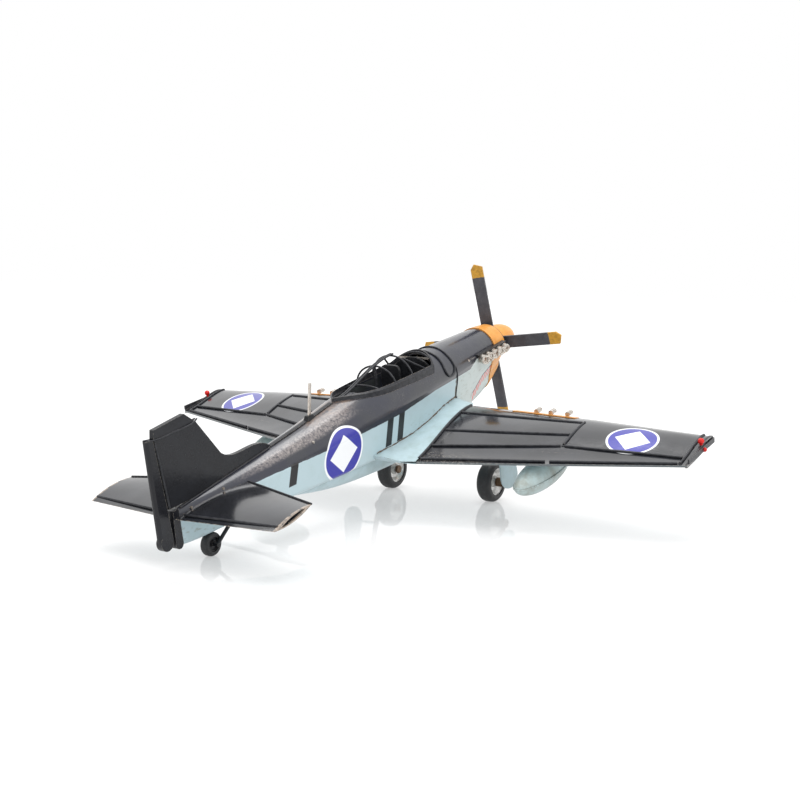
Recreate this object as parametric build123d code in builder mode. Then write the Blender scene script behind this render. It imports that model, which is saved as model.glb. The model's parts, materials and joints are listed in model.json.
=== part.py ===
from build123d import *
import os
from math import cos, radians, sin, sqrt

# A handmade sheet-metal model of a low-wing fighter with a tail wheel, in millimetres.
#
# The airframe is drawn level: X runs forward along the thrust line, Y to port and Z up, with
# the origin where the tail wheel meets the ground. Every finished piece is then tipped nose-up
# to the attitude in which the model stands on its three wheels.

# Driving dimensions
ATTITUDE = 12.0            # nose-up angle of the standing model, degrees
MID_LENGTH = 100.11        # from the tail wheel's contact forward to the middle of the model
SHEET = 0.6                # thickness of the bent sheet
WIRE = 0.45                # radius of the soldered wires
FINE_WIRE = 0.3            # radius of the thin wires
RUNNING_FIT = 0.05         # radial clearance of everything that turns

HALF_SPAN = 141.0          # centreline to wing tip
RIB_Y = 84.0               # spanwise place of the chordwise wire
THRUST_Z = 27.4            # height of the propeller shaft
COWL_FRONT = 224.0         # front of the nose ring
RING_REAR = 212.0          # joint between the ring and the fuselage shells
STERN = -15.0              # rear end of the fuselage shells

PROP_RADIUS = 42.2
BLADE_CHORD = 6.5
BLADE_THICKNESS = 1.0
BLADE_PITCH = 9.0          # degrees out of the propeller's plane
BLADE_LEAN = 7.0           # how far the first blade leans to port of upright, degrees
PROP_DISC_X = 226.4        # rear face of the blades' disc
PROP_DISC_THICKNESS = 1.3
SHAFT_RADIUS = 1.5

WHEEL_RADIUS = 10.0
WHEEL_WIDTH = 7.4
HUB_RADIUS = 6.7
WHEEL_X = 167.7            # main axle, level airframe
WHEEL_Z = (WHEEL_RADIUS - WHEEL_X * sin(radians(ATTITUDE))) / cos(radians(ATTITUDE))
WHEEL_Y = 29.2             # middle of the tyre
AXLE_RADIUS = 1.2
LEG_Y = 36.6
LEG_RADIUS = 1.3

TAIL_WHEEL_RADIUS = 4.8
TAIL_WHEEL_WIDTH = 3.6

os.makedirs("parts", exist_ok=True)
STANDING = Location((-MID_LENGTH, 0, 0), (0, -ATTITUDE, 0))

# Fuselage stations: x, half width at the belt, belt height, top, half width at the chine,
# chine height, bottom
FUSELAGE = (
    (STERN, 1.9, 23.0, 25.4, 1.6, 12.2, 10.8),
    (5.0, 4.6, 22.6, 27.3, 3.5, 11.4, 9.5),
    (24.0, 7.2, 22.4, 29.3, 5.4, 11.0, 8.9),
    (44.0, 9.2, 22.2, 31.2, 7.0, 10.4, 7.4),
    (76.0, 11.7, 23.2, 35.0, 9.2, 9.0, 5.2),
    (105.0, 13.5, 25.0, 38.6, 11.0, 7.8, 3.7),
    (135.0, 14.0, 26.0, 39.9, 11.4, 7.2, 2.9),
    (160.0, 13.5, 26.6, 40.3, 10.6, 7.4, 2.4),
    (185.0, 12.2, 27.4, 39.9, 8.8, 8.4, 2.6),
    (205.0, 11.1, 28.0, 39.2, 6.8, 11.6, 5.0),
    (COWL_FRONT, 10.2, 27.6, 37.8, 5.4, 18.6, 13.4),
)

# Wing sections: y, heights of the upper skin, heights of the lower skin, both at CHORD_MARKS
CHORD_MARKS = (0.02, 0.06, 0.22, 0.45, 0.64, 1.0)
WING = (
    (10.0, (11.7, 12.6, 13.2, 12.0, 10.0, 6.4), (9.0, 7.8, 4.8, 3.4, 3.4, 5.4)),
    (RIB_Y, (10.2, 10.8, 11.3, 9.8, 7.6, 5.4), (8.4, 7.6, 5.8, 4.6, 4.2, 4.5)),
    (HALF_SPAN, (8.0, 8.4, 8.6, 7.5, 6.4, 5.0), (6.9, 6.5, 5.7, 4.9, 4.5, 4.1)),
)
WING_CAVITY_END = 0.75     # chord fraction where the two skins close on each other


def write(piece, name):
    """Stand a finished piece on its wheels, label it and write it."""
    placed = piece.moved(STANDING)
    placed.label = name
    export_step(placed, f"parts/{name}.step")


def write_pair(piece, name):
    """Write a port piece and its mirror image for the starboard side."""
    write(piece, f"{name}_left")
    with BuildPart() as starboard:
        mirror(piece, about=Plane.XZ)
    write(starboard.part, f"{name}_right")


def write_both(piece, name):
    """Write a port piece and its mirror image as one node."""
    with BuildPart() as both:
        add(piece)
        mirror(piece, about=Plane.XZ)
    write(both.part, name)


def across(x):
    """The plane that cuts the airframe crosswise at x, with local axes +Y and +Z."""
    return Plane(origin=(x, 0, 0), x_dir=(0, 1, 0), z_dir=(1, 0, 0))


def rod(start, end, radius):
    """Add a straight round rod to the current part."""
    axis = Vector(*end) - Vector(*start)
    with BuildSketch(Plane(origin=start, z_dir=axis)) as profile:
        Circle(radius)
    extrude(profile.sketch, amount=axis.length)


def bent_wire(points, radius):
    """Add a round wire that bends smoothly through the points."""
    with BuildLine() as route:
        Spline(*points)
    with BuildSketch(Plane(origin=route.line @ 0, z_dir=route.line % 0)) as profile:
        Circle(radius)
    sweep(profile.sketch, path=route.line)


def box_between(low, high, mode=Mode.ADD):
    """Add a box given by its lowest and highest corners."""
    size = [b - a for a, b in zip(low, high)]
    centre = [(a + b) / 2 for a, b in zip(low, high)]
    with Locations(tuple(centre)):
        Box(*size, mode=mode)


def interpolate(x, table, column):
    """Read a column of a table of rows at x, along straight lines between the rows."""
    for before, after in zip(table, table[1:]):
        if x <= after[0]:
            break
    share = (x - before[0]) / (after[0] - before[0])
    return before[column] + share * (after[column] - before[column])


def side_y(x, z):
    """Half width of the fuselage at a place on its side."""
    half_width, belt, top = (interpolate(x, FUSELAGE, column) for column in (1, 2, 3))
    chine_half_width, chine = (interpolate(x, FUSELAGE, column) for column in (4, 5))
    if z >= belt:
        return half_width * sqrt(max(0.0, 1 - ((z - belt) / (top - belt)) ** 2))
    share = (z - chine) / (belt - chine)
    return chine_half_width + share * (half_width - chine_half_width)


def deck_z(x, y):
    """Height of the rounded deck at a place."""
    half_width, belt, top = (interpolate(x, FUSELAGE, column) for column in (1, 2, 3))
    return belt + (top - belt) * sqrt(max(0.0, 1 - (y / half_width) ** 2))


def leading_edge(y):
    return 172.2 - 0.02 * y


def trailing_edge(y):
    return 95.5 + 0.308 * y


def skin_height(skin, mark):
    """Height of a wing skin at a chord fraction, between its marks."""
    rows = list(zip(CHORD_MARKS, skin))
    return interpolate(mark, rows, 1)


def wing_top(y, chord, lift=0.0):
    """A point on the wing's upper skin, or a little above it."""
    root, tip = (WING[0], WING[1]) if y <= RIB_Y else (WING[1], WING[2])
    share = (y - root[0]) / (tip[0] - root[0])
    low, high = skin_height(root[1], chord), skin_height(tip[1], chord)
    x = leading_edge(y) - chord * (leading_edge(y) - trailing_edge(y))
    return (x, y, low + share * (high - low) + lift)


# ------------------------------------------------------------------ fuselage


def fuselage_hull(inset):
    """Loft the whole fuselage outline, drawn in by the given amount."""
    with BuildPart() as hull:
        for x, half_width, belt, top, chine_half_width, chine, bottom in FUSELAGE:
            wide, narrow = half_width - inset, chine_half_width - inset
            with BuildSketch(across(x)):
                with BuildLine():
                    EllipticalCenterArc((0, belt), wide, top - inset - belt, 0, arc_size=180)
                    Line((-wide, belt), (-narrow, chine))
                    EllipticalCenterArc((0, chine), narrow, chine - bottom - inset, 180, arc_size=180)
                    Line((narrow, chine), (wide, belt))
                make_face()
        loft()
    return hull.part


hull_outside = fuselage_hull(0)
hull_inside = fuselage_hull(SHEET)
hull_raised = fuselage_hull(-0.5)
hull_coaming = fuselage_hull(-1.7)

OPENING_REAR = 88.0
OPENING_SIDE = ((97.0, 6.2), (108.0, 9.4), (122.0, 10.7), (136.0, 11.3), (151.0, 11.5))
OPENING_FRONT = 157.5
COAMING_WIDTH = 0.9
OPENING_FLOOR = 20.0
OPENING_CEILING = 60.0


def opening_column(grow):
    """Extrude the cockpit opening's outline, widened by the given amount, up through the deck."""
    edge = [(OPENING_REAR - grow, 0.0)] + [(x, half_width + grow) for x, half_width in OPENING_SIDE]
    front, half_width = edge[-1]
    with BuildPart() as column:
        with BuildSketch(Plane.XY.offset(OPENING_FLOOR)):
            with BuildLine():
                Spline(*edge)
                ThreePointArc(edge[-1], (OPENING_FRONT + grow, 0), (front, -half_width))
                Spline(*[(x, -y) for x, y in edge])
            make_face()
        extrude(amount=OPENING_CEILING - OPENING_FLOOR)
    return column.part


opening = opening_column(0)
opening_grown = opening_column(COAMING_WIDTH)

with BuildPart() as fuselage_left:
    add(hull_outside)
    add(hull_inside, mode=Mode.SUBTRACT)
    box_between((RING_REAR, -20, -10), (COWL_FRONT + 1, 20, 60), mode=Mode.SUBTRACT)
    add(opening, mode=Mode.SUBTRACT)
    split(bisect_by=Plane.XZ, keep=Keep.BOTTOM)
write_pair(fuselage_left.part, "fuselage")

STRIP_HALF_WIDTH = 1.1
STRIP_REAR = 30.0
with BuildPart() as spine_strip:
    add(hull_raised)
    add(hull_outside, mode=Mode.SUBTRACT)
    box_between((STRIP_REAR, -STRIP_HALF_WIDTH, 25), (OPENING_REAR - 2, STRIP_HALF_WIDTH, 60),
                mode=Mode.INTERSECT)
write(spine_strip.part, "spine_strip")

with BuildPart() as nose_ring:
    add(hull_raised)
    add(hull_inside, mode=Mode.SUBTRACT)
    box_between((RING_REAR, -20, -10), (COWL_FRONT, 20, 60), mode=Mode.INTERSECT)
write(nose_ring.part, "nose_ring")

BULKHEAD_X = 219.0
BULKHEAD_THICKNESS = 1.2
BUSH_RADIUS = 2.8
with BuildPart() as nose_bulkhead:
    add(hull_inside)
    box_between((BULKHEAD_X, -20, -10), (BULKHEAD_X + BULKHEAD_THICKNESS, 20, 60), mode=Mode.INTERSECT)
    with BuildSketch(across(BULKHEAD_X - 1)):
        with Locations((0, THRUST_Z)):
            Circle(BUSH_RADIUS)
    extrude(amount=BULKHEAD_THICKNESS + 2, mode=Mode.SUBTRACT)
write(nose_bulkhead.part, "nose_bulkhead")

# Belly scoop: x, half width, bottom
SCOOP = ((50.0, 2.0, 6.2), (67.0, 5.2, 2.2), (90.0, 7.2, -1.9), (112.0, 7.9, -4.3),
         (137.0, 8.0, -5.4), (149.0, 7.0, -3.8), (160.0, 4.0, 0.6))
SCOOP_CENTRE_Z = 8.0


def scoop_hull(inset):
    """Loft the bulge under the belly, drawn in by the given amount."""
    with BuildPart() as bulge:
        for x, half_width, bottom in SCOOP:
            with BuildSketch(across(x)):
                with Locations((0, SCOOP_CENTRE_Z)):
                    Ellipse(half_width - inset, SCOOP_CENTRE_Z - bottom - inset)
        loft()
    return bulge.part


with BuildPart() as belly_scoop:
    add(scoop_hull(0))
    add(scoop_hull(SHEET), mode=Mode.SUBTRACT)
    add(hull_outside, mode=Mode.SUBTRACT)
    box_between((SCOOP[0][0], -20, -20), (SCOOP[-1][0], 20, SCOOP_CENTRE_Z), mode=Mode.INTERSECT)
write(belly_scoop.part, "belly_scoop")

# ------------------------------------------------------------------ cockpit

with BuildPart() as coaming:
    add(hull_coaming)
    add(hull_outside, mode=Mode.SUBTRACT)
    add(opening_grown, mode=Mode.INTERSECT)
    add(opening, mode=Mode.SUBTRACT)
write(coaming.part, "coaming")

FLOOR_Z = 22.0
with BuildPart() as cockpit_floor:
    add(hull_inside)
    box_between((100, -20, FLOOR_Z), (152, 20, FLOOR_Z + 1), mode=Mode.INTERSECT)
write(cockpit_floor.part, "cockpit_floor")

with BuildPart() as instrument_panel:
    add(hull_inside)
    box_between((152, -20, FLOOR_Z), (153.2, 20, 60), mode=Mode.INTERSECT)
    add(opening_grown, mode=Mode.INTERSECT)
write(instrument_panel.part, "instrument_panel")

DECK_FRONT = 110.0
with BuildPart() as turtle_deck:
    add(opening)
    add(hull_inside, mode=Mode.INTERSECT)
    box_between((OPENING_REAR + 3, -20, 33.0), (DECK_FRONT, 20, 33.9), mode=Mode.INTERSECT)
    for y in (-4.5, -1.5, 1.5, 4.5):
        rod((98 + abs(y), y, 33.9), (DECK_FRONT - 0.5, y, 33.9), 0.45)
write(turtle_deck.part, "turtle_deck")

SEAT_X = 133.0
SEAT_WIDTH = 10.0
SEAT_TOP = 40.8
with BuildPart() as seat:
    with BuildSketch(across(SEAT_X)):
        with Locations((0, (FLOOR_Z + 1 + SEAT_TOP) / 2)):
            RectangleRounded(SEAT_WIDTH, SEAT_TOP - FLOOR_Z - 1, 2.4)
    extrude(amount=1.4)
    box_between((SEAT_X, -SEAT_WIDTH / 2, FLOOR_Z + 1), (SEAT_X + 11, SEAT_WIDTH / 2, FLOOR_Z + 5))
write(seat.part, "seat")

# Canopy hoops: x, half width, foot height, top height
HOOPS = ((111.0, 10.0, 34.6, 37.4), (121.5, 10.9, 34.4, 43.6), (135.0, 11.5, 33.6, 45.0))


def arch_points(x, half_width, foot, top, lean=0.0):
    """Seven points of an arch across the cockpit, leaning forward towards its top."""
    points = []
    for angle in (0, 30, 60, 90, 120, 150, 180):
        rise = sin(radians(angle))
        points.append((x + lean * rise, half_width * cos(radians(angle)), foot + (top - foot) * rise))
    return points


with BuildPart() as canopy_hoops:
    for hoop in HOOPS:
        bent_wire(arch_points(*hoop), WIRE)
write(canopy_hoops.part, "canopy_hoops")

SPINE_WIRE_Y = 0.55
with BuildPart() as canopy_spine:
    for y in (-SPINE_WIRE_Y, SPINE_WIRE_Y):
        bent_wire([(89.5, y, 37.0), (97, y, 37.6), (109.9, y, 41.2), (123.8, y, 44.6), (136.0, y, 45.6)],
                  WIRE)
write(canopy_spine.part, "canopy_spine")

WINDSHIELD_X = 151.5
WINDSHIELD_LEAN = 4.5
with BuildPart() as windshield_frame:
    bent_wire(arch_points(WINDSHIELD_X, 11.9, 32.6, 41.2, WINDSHIELD_LEAN), WIRE)
    for side in (-1, 1):
        rod((WINDSHIELD_X, side * 11.7, 33.2), (136.5, side * 5.4, 43.6), WIRE)
write(windshield_frame.part, "windshield_frame")

with BuildPart() as windshield_bar:
    box_between((153.8, -8.4, 38.4), (155.0, 8.4, 39.1))
write(windshield_bar.part, "windshield_bar")

with BuildPart() as cockpit_post:
    rod((121.5, 0, FLOOR_Z + 1), (121.5, 0, 43.4), 0.55)
write(cockpit_post.part, "cockpit_post")

# ------------------------------------------------------------------ nose wires, exhausts, mast

HAIRPIN_REAR = 161.0
HAIRPIN_FRONT = 169.0
HAIRPIN_END_Z = 30.0
HAIRPIN_BEND = 2.4
HAIRPIN_GAP = 1.4          # between the wire's two ends, on the port side


def deck_hoop(x, lift):
    """Points of a wire laid over the rounded deck at x, from port belt to starboard belt."""
    half_width, belt, top = (interpolate(x, FUSELAGE, column) + lift for column in (1, 2, 3))
    start = (HAIRPIN_END_Z - belt) / (top - belt)
    points = []
    for share in (-1, -0.66, -0.33, 0, 0.33, 0.66, 1):
        angle = share * (90 - 57.2958 * start)
        points.append((x, -half_width * sin(radians(angle)), belt + (top - belt) * cos(radians(angle))))
    return points


with BuildPart() as nose_hairpin:
    rear_strand = deck_hoop(HAIRPIN_REAR, 0.3)
    front_strand = deck_hoop(HAIRPIN_FRONT, 0.3)
    middle = (HAIRPIN_REAR + HAIRPIN_FRONT) / 2
    end_y = rear_strand[0][1] * 1.01
    end_z = HAIRPIN_END_Z - HAIRPIN_BEND
    bent_wire([(middle - HAIRPIN_GAP / 2, end_y, end_z), *rear_strand, (middle, -end_y, end_z),
               *reversed(front_strand), (middle + HAIRPIN_GAP / 2, end_y, end_z)], WIRE)
write(nose_hairpin.part, "nose_hairpin")

with BuildPart() as cowl_wire:
    seam = [(170.6, 31.0), (171.0, 26.0), (170.8, 20.0), (170.6, 15.6), (172.4, 12.6), (175.0, 11.4)]
    bent_wire([(x, side_y(x, z) + 0.2, z) for x, z in seam], FINE_WIRE)
write_both(cowl_wire.part, "cowl_wires")

STUB_COUNT = 5
STUB_PITCH = 5.7
STUB_REAR_X = 197.0
STUB_Z = 28.0
STUB_RADIUS = 2.3
STUB_LENGTH = 6.4
STUB_SWEEP = (-0.45, 0.89, 0.0)
with BuildPart() as exhaust_stubs:
    for index in range(STUB_COUNT):
        x = STUB_REAR_X + index * STUB_PITCH
        base = Vector(x, side_y(x, STUB_Z) - 1.2, STUB_Z)
        with BuildSketch(Plane(origin=base, z_dir=STUB_SWEEP)):
            Circle(STUB_RADIUS)
        extrude(amount=STUB_LENGTH)
        with BuildSketch(Plane(origin=base + Vector(*STUB_SWEEP).normalized() * (STUB_LENGTH - 0.6),
                               z_dir=STUB_SWEEP)):
            Circle(STUB_RADIUS - 0.9)
        extrude(amount=2, mode=Mode.SUBTRACT)
    add(hull_outside, mode=Mode.SUBTRACT)
    add(nose_ring.part, mode=Mode.SUBTRACT)
write_both(exhaust_stubs.part, "exhaust_stubs")

LIP_Z = 31.2
with BuildPart() as exhaust_lip:
    with BuildSketch(across(192.0)):
        with BuildLine():
            Polyline((9.0, LIP_Z), (13.0, LIP_Z - 0.5), (13.0, LIP_Z - 1.0), (9.0, LIP_Z - 0.6), close=True)
        make_face()
    extrude(amount=29)
    add(hull_outside, mode=Mode.SUBTRACT)
    add(nose_ring.part, mode=Mode.SUBTRACT)
    add(exhaust_stubs.part, mode=Mode.SUBTRACT)
write_both(exhaust_lip.part, "exhaust_lips")

MAST_BASE = (70.2, 0, 34.6)
MAST_TOP = (73.4, 0, 49.2)
with BuildPart() as aerial_mast:
    mast_axis = Vector(*MAST_TOP) - Vector(*MAST_BASE)
    with BuildSketch(Plane(origin=MAST_BASE, x_dir=(0, 1, 0), z_dir=mast_axis)):
        RectangleRounded(0.8, 1.7, 0.3)
    extrude(amount=mast_axis.length)
    add(hull_outside, mode=Mode.SUBTRACT)
    add(spine_strip.part, mode=Mode.SUBTRACT)
write(aerial_mast.part, "aerial_mast")

with BuildPart() as mast_foot:
    with BuildSketch(Plane.XY.offset(34.0)):
        with Locations((70.2, 0)):
            Rectangle(4.6, 3.2)
    extrude(amount=2.0, taper=18)
    add(hull_outside, mode=Mode.SUBTRACT)
    with BuildSketch(Plane(origin=MAST_BASE, x_dir=(0, 1, 0), z_dir=mast_axis)):
        RectangleRounded(0.8, 1.7, 0.3)
    extrude(amount=4, both=True, mode=Mode.SUBTRACT)
    add(spine_strip.part, mode=Mode.SUBTRACT)
write(mast_foot.part, "mast_foot")

# ------------------------------------------------------------------ wings


def wing_hull(inset):
    """Loft one wing through its sections, drawn in by the given amount."""
    first_mark, last_mark = (CHORD_MARKS[1], WING_CAVITY_END) if inset > 0 else (CHORD_MARKS[0], 1.0)
    marks = [mark for mark in CHORD_MARKS if first_mark <= mark < last_mark] + [last_mark]
    with BuildPart() as hull:
        for y, upper, lower in WING:
            front = leading_edge(y)
            chord = front - trailing_edge(y)
            top = [(front - mark * chord, skin_height(upper, mark) - inset) for mark in marks]
            bottom = [(front - mark * chord, skin_height(lower, mark) + inset) for mark in marks]
            nose = (front - inset, (upper[0] + lower[0]) / 2)
            with BuildSketch(Plane.XZ.offset(-y)):
                with BuildLine():
                    ThreePointArc(bottom[0], nose, top[0])
                    Spline(*top)
                    Line(top[-1], bottom[-1])
                    Spline(*reversed(bottom))
                make_face()
        loft(ruled=True)
    return hull.part


# The joint line between wing and root fillet, in plan
ROOT_JOINT_FRONT_X = 172.0
ROOT_JOINT_FRONT_Y = 20.6
ROOT_JOINT_SLOPE = 0.1275

wing_outside = wing_hull(0)
wing_inside = wing_hull(SHEET)
wing_raised = wing_hull(-0.35)

def root_y(x):
    """Spanwise place of the joint between the wing and its root fillet."""
    return ROOT_JOINT_FRONT_Y + (ROOT_JOINT_FRONT_X - x) * ROOT_JOINT_SLOPE


with BuildPart() as root_prism:
    with BuildSketch(Plane.XY.offset(-20)):
        with BuildLine():
            Polyline((80, -5), (80, root_y(80)), (190, root_y(190)), (190, -5), close=True)
        make_face()
    extrude(amount=60)
root_block = root_prism.part

with BuildPart() as wing_left:
    add(wing_outside)
    add(wing_inside, mode=Mode.SUBTRACT)
    add(root_block, mode=Mode.SUBTRACT)
write_pair(wing_left.part, "wing")

WING_WIRE = 0.58           # radius of the wires on the wings
WING_WIRE_LIFT = 0.25
WIRE_STOP = 0.9            # from the middle of one wire to the end of the wire that meets it
TIP_WIRE_Y = 137.6
# Chord fractions of the spanwise wires at the root wire, the rib and the tip wire
SPANWISE_WIRES = ((0.235, 0.19, None), (0.53, 0.45, None), (0.76, 0.64, 0.78), (0.955, 0.955, 0.955))


def root_wire_y(chord):
    """Spanwise place of the joint line at a chord fraction."""
    return root_y(leading_edge(22) - chord * (leading_edge(22) - trailing_edge(27)))


def spanwise_wire(inner_y, at_inner, outer_y, at_outer):
    """Add a straight wire on the upper skin that stops just short of the wires it runs between."""
    share = WIRE_STOP / (outer_y - inner_y)
    drift = share * (at_outer - at_inner)
    rod(wing_top(inner_y + WIRE_STOP, at_inner + drift, WING_WIRE_LIFT),
        wing_top(outer_y - WIRE_STOP, at_outer - drift, WING_WIRE_LIFT), WING_WIRE)


with BuildPart() as wing_wires:
    for at_root, at_rib, at_tip in SPANWISE_WIRES:
        spanwise_wire(root_wire_y(at_root), at_root, RIB_Y, at_rib)
        if at_tip is not None:
            spanwise_wire(RIB_Y, at_rib, TIP_WIRE_Y, at_tip)
    root_marks = (0.05, 0.22, 0.45, 0.64, 0.955)
    bent_wire([wing_top(root_wire_y(mark), mark, WING_WIRE_LIFT + 0.2) for mark in root_marks], WING_WIRE)
    bent_wire([wing_top(RIB_Y, mark, WING_WIRE_LIFT) for mark in (0.17, 0.3, 0.45, 0.62)],
              WING_WIRE)
    bent_wire([wing_top(TIP_WIRE_Y, mark, WING_WIRE_LIFT) for mark in root_marks], WING_WIRE)
write_pair(wing_wires.part, "wing_wires")

with BuildPart() as tip_plate:
    add(wing_raised)
    box_between((100, HALF_SPAN - 0.9, -10), (190, HALF_SPAN, 30), mode=Mode.INTERSECT)
    add(wing_outside, mode=Mode.SUBTRACT)
    with BuildSketch(Plane.XZ.offset(-HALF_SPAN)):
        with Locations((154.5, 6.4)):
            Rectangle(30.0, 2.2)
    extrude(amount=-0.7)
write_both(tip_plate.part, "tip_plates")

BAND_INNER = 44.6
BAND_OUTER = 77.0
BAND_REAR = 166.2
with BuildPart() as leading_edge_band:
    add(wing_raised)
    add(wing_outside, mode=Mode.SUBTRACT)
    box_between((BAND_REAR, BAND_INNER, 8.2), (180, BAND_OUTER, 30), mode=Mode.INTERSECT)
write_both(leading_edge_band.part, "leading_edge_bands")

GUN_Y = (56.0, 63.5, 72.0)
GUN_Z = 12.1
GUN_RADIUS = 1.15
GUN_FRONT = 172.6
with BuildPart() as gun_barrels:
    for y in GUN_Y:
        rod((168.6, y, GUN_Z), (GUN_FRONT, y, GUN_Z), GUN_RADIUS)
        with BuildSketch(across(GUN_FRONT - 1.5)):
            with Locations((y, GUN_Z)):
                Circle(GUN_RADIUS - 0.4)
        extrude(amount=3, mode=Mode.SUBTRACT)
    add(wing_raised, mode=Mode.SUBTRACT)
write_both(gun_barrels.part, "gun_barrels")

LIGHT_MARK = 0.4
with BuildPart() as tip_light:
    light_x, light_y, light_z = wing_top(HALF_SPAN - 1.2, LIGHT_MARK)
    upper = (light_x, light_y + 0.5, light_z + 1.9)
    lower = (light_x, light_y + 2.0, light_z - 1.8)
    for place, size in ((upper, 1.4), (lower, 1.0)):
        with Locations(place):
            Sphere(size)
    rod((upper[0], upper[1], light_z - 0.4), upper, 0.7)
    rod((lower[0], light_y, lower[2]), lower, 0.5)
write_both(tip_light.part, "tip_lights")

# Root fillet: x, height of the seam on the fuselage side, outer y, outer top, outer bottom, inner bottom
FILLET = (
    (175.5, 13.4, 17.4, 11.4, 10.2, 10.2),
    (171.0, 15.4, root_y(171.0), 12.2, 8.4, 8.4),
    (157.0, 14.4, root_y(157.0), 13.3, 4.9, 4.6),
    (144.0, 11.6, root_y(144.0), 12.4, 4.0, 3.6),
    (130.0, 9.8, root_y(130.0), 10.3, 3.8, 3.4),
    (104.0, 9.4, root_y(104.0), 6.6, 5.2, 5.2),
    (101.0, 9.5, 23.5, 7.0, 6.2, 6.2),
    (98.4, 9.8, 15.5, 9.2, 8.6, 8.6),
)
FILLET_SINK = 1.5


def fillet_hull(inset, overrun):
    """Loft the fillet's outline, drawn in by the inset and lengthened sideways by the overrun."""
    with BuildPart() as hull:
        rows = FILLET[:-1] if inset else FILLET
        for x, seam, outer_y, outer_top, outer_bottom, inner_bottom in rows:
            inner_y = side_y(x, seam) - FILLET_SINK - overrun
            outer_y += overrun
            top = (inner_y + outer_y) / 2, (seam + outer_top) / 2 - inset - 0.4
            with BuildSketch(across(x)):
                with BuildLine():
                    ThreePointArc((inner_y, seam - inset), top, (outer_y, outer_top - inset))
                    Polyline((outer_y, outer_top - inset), (outer_y, outer_bottom + inset),
                             (inner_y, inner_bottom + inset), (inner_y, seam - inset))
                make_face()
        loft(ruled=True)
    return hull.part


with BuildPart() as wing_fillet:
    add(fillet_hull(0, 0))
    add(fillet_hull(SHEET * 0.6, 3.0), mode=Mode.SUBTRACT)
    add(hull_outside, mode=Mode.SUBTRACT)
    add(scoop_hull(0), mode=Mode.SUBTRACT)
write_pair(wing_fillet.part, "wing_fillet")

# Drop tanks under the wings
TANK_CENTRE = (136.4, 74.4, -4.8)
TANK_HALF_LENGTH = 23.4
TANK_RADIUS = 6.9
FLANGE_WIDTH = 0.5
with BuildPart() as drop_tank:
    with BuildSketch(Plane(origin=TANK_CENTRE, x_dir=(1, 0, 0), z_dir=(0, -1, 0))):
        with BuildLine():
            EllipticalCenterArc((0, 0), TANK_HALF_LENGTH, TANK_RADIUS, 0, arc_size=180)
            Line((-TANK_HALF_LENGTH, 0), (TANK_HALF_LENGTH, 0))
        make_face()
    revolve(axis=Axis(TANK_CENTRE, (1, 0, 0)))
    with BuildSketch(Plane(origin=TANK_CENTRE, z_dir=(0, 0, 1))):
        Ellipse(TANK_HALF_LENGTH + FLANGE_WIDTH, TANK_RADIUS + FLANGE_WIDTH)
    extrude(amount=0.25, both=True)
write_pair(drop_tank.part, "drop_tank")

PYLON_LENGTH = 9.0
with BuildPart() as tank_pylon:
    with BuildSketch(Plane.XY.offset(-3.0)):
        with Locations((TANK_CENTRE[0] + 4, TANK_CENTRE[1])):
            RectangleRounded(PYLON_LENGTH, 1.8, 0.85)
    extrude(amount=14)
    add(drop_tank.part, mode=Mode.SUBTRACT)
    add(wing_outside, mode=Mode.SUBTRACT)
    box_between((100, 60, TANK_CENTRE[2]), (180, 90, 6.5), mode=Mode.INTERSECT)
write_both(tank_pylon.part, "tank_pylons")

# ------------------------------------------------------------------ tail

FIN_THICKNESS = 2.0
with BuildPart() as fin:
    with BuildSketch(Plane.XZ):
        with BuildLine():
            Polyline((-18.4, 22.0), (-21.2, 55.2), (-20.6, 58.2), (-4.0, 59.4), (1.6, 54.6), (12.6, 38.6))
            Spline((12.6, 38.6), (15.6, 36.6), (25.0, 35.2), (42.0, 31.6))
            Polyline((42.0, 31.6), (42.0, 24.0), (-18.4, 22.0))
        make_face()
    extrude(amount=FIN_THICKNESS / 2, both=True)
    add(hull_raised, mode=Mode.SUBTRACT)
    box_between((-30, -5, 26.5), (60, 5, 70), mode=Mode.INTERSECT)
write(fin.part, "fin")

CAP_WIRE_Y = FIN_THICKNESS / 2 + 0.1
with BuildPart() as fin_wires:
    for side in (-1, 1):
        bent_wire([(-24.6, side * 0.8, 55.2), (-21.5, side * CAP_WIRE_Y, 54.6), (-10.0, side * CAP_WIRE_Y, 54.4),
                   (0.6, side * CAP_WIRE_Y, 54.9), (2.8, side * 0.5, 55.4)], FINE_WIRE + 0.05)
        rod((-13.5, side * 1.3, deck_z(-13.5, 1.3) + 0.5), (41.0, side * 1.3, deck_z(41.0, 1.3) + 0.35),
            FINE_WIRE + 0.05)
        rod((-18.6, side * 1.2, 27.2), (-20.9, side * 1.1, 53.4), FINE_WIRE + 0.05)
write(fin_wires.part, "fin_wires")

RUDDER_THICKNESS = 2.7
with BuildPart() as rudder:
    with BuildSketch(Plane.XZ):
        with BuildLine():
            Polyline((-19.3, 15.4), (-21.9, 54.9), (-25.2, 54.9), (-25.8, 15.4))
            ThreePointArc((-25.8, 15.4), (-22.55, 11.4), (-19.3, 15.4))
        make_face()
    extrude(amount=RUDDER_THICKNESS / 2, both=True)
    fillet(rudder.edges().filter_by(Plane.XZ).group_by(Axis.X)[0], 1.1)
write(rudder.part, "rudder")

with BuildPart() as stern_post:
    with BuildSketch(Plane.XZ):
        with BuildLine():
            Polyline((-15.0, 25.6), (-18.1, 25.6), (-19.0, 12.4))
            ThreePointArc((-19.0, 12.4), (-17.0, 10.2), (-15.0, 12.4))
            Line((-15.0, 12.4), (-15.0, 25.6))
        make_face()
    extrude(amount=1.9, both=True)
    add(hull_outside, mode=Mode.SUBTRACT)
    add(rudder.part, mode=Mode.SUBTRACT)
write(stern_post.part, "stern_post")

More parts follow.
